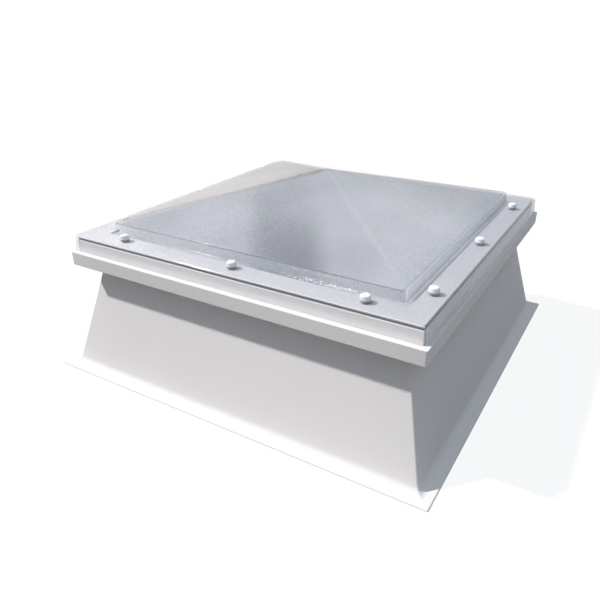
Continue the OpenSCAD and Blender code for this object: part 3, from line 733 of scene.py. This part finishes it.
def clear_dome(material):
    """Outer dome: skirt, flange, step and slopes."""
    step = rounded([(hem_half, hem_z, 0), (flange_half, flange_z, FLANGE_R), (step_foot, flange_z, STEP_R),
                    (step_top, step_z, STEP_R), (0, step_z + step_top * math.tan(PITCH), 0)])[:-1]
    crown = slope(step_top, step_z)
    corners = [(hem_half, FLANGE_CORNER_R + SKIRT_FLARE), (flange_half, FLANGE_CORNER_R),
               (step_foot + 2 * STEP_R, STEP_CORNER_R + 2 * STEP_R), (step_foot, STEP_CORNER_R)]
    return formed_sheet("clear_dome", held(step + divided(step[-1], crown[0], SLOPE_STEPS)) + crown,
                        corners + ridges(step_top), CLEAR_T, material, None)


def diffuser_dome(face, back):
    """Inner dome: flange, step and slopes, nested under the outer one."""
    step = rounded([(diffuser_half, diffuser_flange_z, 0), (diffuser_foot, diffuser_flange_z, STEP_R),
                    (diffuser_top, diffuser_eaves_z, STEP_R),
                    (0, diffuser_eaves_z + diffuser_top * math.tan(PITCH), 0)])[:-1]
    crown = slope(diffuser_top, diffuser_eaves_z)
    corners = [(diffuser_half, DIFFUSER_CORNER_R), (diffuser_foot + 2 * STEP_R, STEP_CORNER_R + 2 * STEP_R),
               (diffuser_foot, STEP_CORNER_R)]
    return formed_sheet("diffuser_dome", held(step + divided(step[-1], crown[0], SLOPE_STEPS)) + crown,
                        corners + ridges(diffuser_top), DIFFUSER_T, face, back)


def moulded_upstand(material):
    """The upstand in one skin, with the soft edges of a moulding."""
    def wall(z):
        return base_half - BASE_RIM - z * math.tan(WALL_LEAN)

    ledge_z = rim_z - LEDGE_T
    section = rounded([
        (base_half, 0, 0), (base_half, BASE_T, BASE_EDGE_R), (wall(BASE_T), BASE_T, COVE_R),
        (wall(ledge_z), ledge_z, 3 * EDGE_R), (RIM_HALF - LIP_T, ledge_z, 2 * EDGE_R),
        (RIM_HALF - LIP_T, rim_z - LIP_H, EDGE_R), (RIM_HALF, rim_z - LIP_H, EDGE_R),
        (RIM_HALF, rim_z, RIM_R), (wall(rim_z) - WALL_T, rim_z, EDGE_R), (wall(0) - WALL_T, 0, 0)])
    points, faces = loft([square_ring(p.x, p.y, WALL_CORNER_R) for p in held(section)], hoop=True)
    return new_piece("moulded_upstand", points, faces, material)


def turned(profile, count=SHAFT_SIDES):
    """Rings about +Z for (radius, height) pairs; no radius gives a single point."""
    turns = [2 * math.pi * k / count for k in range(count)]
    return [[(r * math.cos(t), r * math.sin(t), h) for t in turns] if r > 0 else [(0, 0, h)]
            for r, h in profile]


def along(axis, origin):
    """Places what stands on +Z on an axis from an origin, keeping X across."""
    x = Vector((1, 0, 0))
    turn = Matrix((x, axis.cross(x), axis)).transposed().to_4x4()
    return Matrix.Translation(origin) @ turn


def moved(points, matrix):
    """The points, carried by a matrix."""
    return [matrix @ Vector(p) for p in points]


def fused(piece, other):
    """Joins another closed piece to this one and keeps one outer skin."""
    union = piece.modifiers.new("fused", "BOOLEAN")
    union.operation = "UNION"
    union.solver = "EXACT"
    union.object = other
    bpy.context.view_layer.update()
    evaluated = piece.evaluated_get(bpy.context.evaluated_depsgraph_get())
    mesh = bpy.data.meshes.new_from_object(evaluated)
    piece.modifiers.clear()
    piece.data = mesh
    mesh.shade_smooth()
    mesh.set_sharp_from_angle(angle=FUSED_SHARP)
    bpy.data.objects.remove(other)
    return piece


def cap_set(material):
    """The twelve fixing caps: hollow over the screw head, a thin foot, a rounded shoulder and a moulding
    dimple."""
    body = CAP_R - CAP_FOOT_W
    dimple_z = cap_h - CAP_DIMPLE_DEEP
    shoulder = rounded([(body, CAP_BODY_Z, 0), (body, cap_h, CAP_ROUND), (CAP_DIMPLE_R, cap_h, 0)])
    profile = ([(0, CAP_DEEP), (CAP_BORE, CAP_DEEP), (CAP_BORE, HAIR), (CAP_R - CAP_FOOT_EASE, HAIR),
                (CAP_R, CAP_EASE_TOP), (CAP_R, CAP_FOOT_H)] + [tuple(p) for p in shoulder]
               + [(CAP_DIMPLE_FLOOR_R, dimple_z), (0, dimple_z)])
    cap, skin = loft(turned(profile, CAP_SIDES))
    points, faces = [], []
    for quarter in range(4):
        turn = Matrix.Rotation(quarter * math.pi / 2, 4, "Z")
        for place in (-fixing_pitch, 0, fixing_pitch):
            start = len(points)
            points += moved(cap, turn @ Matrix.Translation((place, -fixing_line, cap_z)))
            faces += [[start + i for i in face] for face in skin]
    return new_piece("cap_set", points, faces, material, CAP_SHARP)


def eye_ring(name, bore, rim, width, soften, material, centre):
    """A ring about X with softened edges."""
    half = width / 2
    outer = bore + rim
    loop = rounded([(outer, 0, 0), (outer, half, soften), (bore, half, soften), (bore, -half, soften),
                    (outer, -half, soften), (outer, 0, 0)], EYE_ARC_STEPS)[:-1]
    points, faces = loft(turned([tuple(p) for p in loop], EYE_SIDES), hoop=True)
    return new_piece(name, [centre + Vector((z, x, y)) for x, y, z in points], faces, material)


def threaded_spindle(material):
    """Spindle with its rolled thread, plain at both ends, and the eye that takes the clevis pin."""
    def thread(turn, height):
        """Radius at a turn and a height: crest, flank and root, fading out towards both ends."""
        phase = THREAD_STARTS * (height / THREAD_LEAD - turn / (2 * math.pi)) % 1.0
        groove = min(max(3 * abs(2 * phase - 1) - 1, 0), 1)
        fade = min(height - spindle_foot - STOP_H, spindle_top - 2 * SPINDLE_EYE_R - height) / THREAD_RUN_OUT
        return SPINDLE_R - THREAD_DEPTH * groove * min(max(fade, 0), 1)

    top = spindle_top - SPINDLE_EYE_R + SPINDLE_LAP
    steps = round((top - spindle_foot) / THREAD_STEP)
    turns = [2 * math.pi * k / SPINDLE_SIDES for k in range(SPINDLE_SIDES)]
    rings = [[(0, 0, spindle_foot)]]
    for k in range(steps + 1):
        height = spindle_foot + (top - spindle_foot) * k / steps
        radii = [thread(t, height) for t in turns]
        rings.append([(r * math.cos(t), r * math.sin(t), height) for r, t in zip(radii, turns)])
    points, faces = loft(rings + [[(0, 0, top)]])
    shank = new_piece("threaded_spindle", moved(points, along(spindle_axis, jack_pivot)), faces, material)
    eye = eye_ring("spindle_eye", SPINDLE_EYE_BORE, SPINDLE_EYE_R - SPINDLE_EYE_BORE, SPINDLE_EYE_W,
                   SPINDLE_EYE_EDGE, material, jack_pivot + spindle_axis * spindle_top)
    return fused(shank, eye)


def forged_winding_eye(material):
    """Winding eye forged in one with its collar and shaft."""
    ring_centre = COLLAR_START + COLLAR_H + WINDING_NECK + WINDING_BORE + WINDING_RIM / 2
    neck = ring_centre - WINDING_BORE - WINDING_RIM / 2
    collar_end = COLLAR_START + COLLAR_H
    section = [(0, SHAFT_START, 0), (SHAFT_R, SHAFT_START, SHAFT_EDGE),
               (SHAFT_R, COLLAR_START, COLLAR_FILLET), (COLLAR_R, COLLAR_START, SHAFT_EDGE),
               (COLLAR_R, collar_end, SHAFT_EDGE), (SHAFT_R, collar_end, SHAFT_EDGE),
               (SHAFT_R, neck, 0), (0, neck, 0)]
    points, faces = loft(turned([tuple(p) for p in rounded(section, SHAFT_ARC_STEPS)]))
    shaft = new_piece("forged_winding_eye", moved(points, along(shaft_axis, jack_pivot)), faces, material)
    ring = eye_ring("winding_ring", WINDING_BORE, WINDING_RIM, WINDING_T, WINDING_EDGE, material,
                    jack_pivot + shaft_axis * ring_centre)
    return fused(shaft, ring)


# Studio and camera

def studio():
    """White backdrop for what is seen directly; a soft cool sky, brightest overhead, for the rest."""
    world = bpy.data.worlds.new("white_studio")
    bpy.context.scene.world = world
    sky = Nodes(world)
    toward = sky.add("ShaderNodeTexCoord", output="Generated")
    overhead = sky.add("ShaderNodeVectorMath", {"operation": "DOT_PRODUCT"},
                       {0: toward, 1: SKY_MIDDLE}, "Value")
    low = sky.add("ShaderNodeBackground", None, {"Color": SKY_COLOUR, "Strength": SKY_LOW})
    high = sky.add("ShaderNodeBackground", None, {"Color": SKY_COLOUR, "Strength": SKY_HIGH})
    white = sky.add("ShaderNodeBackground", None, {"Color": rgb(1, 1, 1)})
    soft = sky.mixed(overhead.or_more(0.0) ** 2, low, high)
    sky.add("ShaderNodeOutputWorld", None, {"Surface": sky.mixed(sky.seen_directly(), soft, white)})


def key_light():
    """One lamp from the front left and above, with soft-edged shadows."""
    lamp = bpy.data.lights.new("key", "SUN")
    lamp.energy = KEY_STRENGTH
    lamp.angle = KEY_SPREAD
    lamp.color = KEY_COLOUR
    key = bpy.data.objects.new("key", lamp)
    key.rotation_euler = Vector(KEY_TOWARD).to_track_quat("-Z", "Y").to_euler()
    bpy.context.scene.collection.objects.link(key)


def floor():
    """A pale floor that is seen as white, apart from the object's shadow."""
    f = Finish("pale_floor")
    grain = f.noise(FLOOR_PATCH, 2.0)
    dark, pale = FLOOR_TONE - FLOOR_VARIES, FLOOR_TONE + FLOOR_VARIES
    plain = f.principled(Base_Color=f.blend(grain, rgb(dark, dark, dark), rgb(pale, pale, pale)),
                         Roughness=1.0, Specular_IOR_Level=0.0)
    glow = f.add("ShaderNodeEmission", None, {"Color": rgb(1, 1, 1), "Strength": FLOOR_GLOW})
    shade = f.add("ShaderNodeBsdfDiffuse", None, {"Color": rgb(FLOOR_SHADE, FLOOR_SHADE, FLOOR_SHADE)})
    white = f.add("ShaderNodeAddShader", None, {0: glow, 1: shade})
    f.done(f.mixed(f.seen_directly(), plain, white))
    mesh = bpy.data.meshes.new("floor")
    half = FLOOR_HALF
    mesh.from_pydata([(-half, -half, 0), (half, -half, 0), (half, half, 0), (-half, half, 0)], [],
                     [(0, 1, 2, 3)])
    mesh.materials.append(f.material)
    plane = bpy.data.objects.new("floor", mesh)
    bpy.context.scene.collection.objects.link(plane)


def camera():
    """The photograph's view."""
    lens = bpy.data.cameras.new("camera")
    lens.lens = CAMERA_LENS
    lens.sensor_width = CAMERA_SENSOR
    eye = bpy.data.objects.new("camera", lens)
    eye.location = CAMERA_PLACE
    eye.rotation_euler = (math.radians(90 - CAMERA_DOWN), 0, math.radians(CAMERA_ROUND))
    bpy.context.scene.collection.objects.link(eye)
    bpy.context.scene.camera = eye


bpy.context.scene.view_settings.view_transform = "Standard"
studio()
key_light()
floor()
camera()

dress(extruded_white(), "sash_frame")
dress(foam(), "spacer_strip")
dress(rubber("grey_seal_rubber", rgb(0.05, 0.05, 0.055), rgb(0.11, 0.11, 0.12)), "weather_seal")
dress(rubber("black_gasket_rubber", rgb(0.035, 0.035, 0.037), rgb(0.08, 0.08, 0.085)), "glazing_gasket")
dress(rubber("grey_washer_rubber", rgb(0.42, 0.42, 0.43), rgb(0.52, 0.52, 0.53)), "fixing_washers")
dress(cast_paint(), "gearbox_housing", "gearbox_cover")
dress(metal("turned_bronze", rgb(0.68, 0.48, 0.24), rgb(0.45, 0.30, 0.14), 0.25, 6 * MM), "input_bush")
steel = metal("greased_steel", rgb(0.62, 0.62, 0.63), rgb(0.40, 0.38, 0.36), 0.24, 8 * MM)
zinc = metal("zinc_plating", rgb(0.70, 0.72, 0.74), rgb(0.55, 0.57, 0.58), 0.28, 10 * MM)
dress(steel, "spindle_stop")
dress(zinc, "hinge_fixed_leaf_left", "hinge_fixed_leaf_right", "hinge_moving_leaf_left",
      "hinge_moving_leaf_right", "jack_bracket", "sash_bracket")
dress(metal("bright_plating", rgb(0.76, 0.76, 0.77), rgb(0.62, 0.62, 0.62), 0.20, 5 * MM),
      "hinge_pin_left", "hinge_pin_right", "hinge_fixed_screws", "hinge_moving_screws",
      "jack_bracket_screws", "jack_pivot_bolts", "fixing_screws", "sash_bracket_screws", "clevis_pin",
      "clevis_clip", "gearbox_cover_screws", "stop_pin")

made = ((moulded_upstand(gelcoat()), "upstand", "upstand", "white_upstand"),
        (clear_dome(clear_sheet()), "sash", "outer_dome", "clear_skin"),
        (diffuser_dome(diffusing_sheet(), diffuser_back()), "sash", "inner_dome", "diffusing_skin"),
        (cap_set(cap_white()), "sash", "fixing_caps", "white_cap"),
        (threaded_spindle(steel), "spindle", "spindle", "spindle_steel"),
        (forged_winding_eye(zinc), "winding_eye", "winding_eye", "zinc_plate"))
for piece, body, node, slot in made:
    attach(piece, body)
    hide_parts(node)
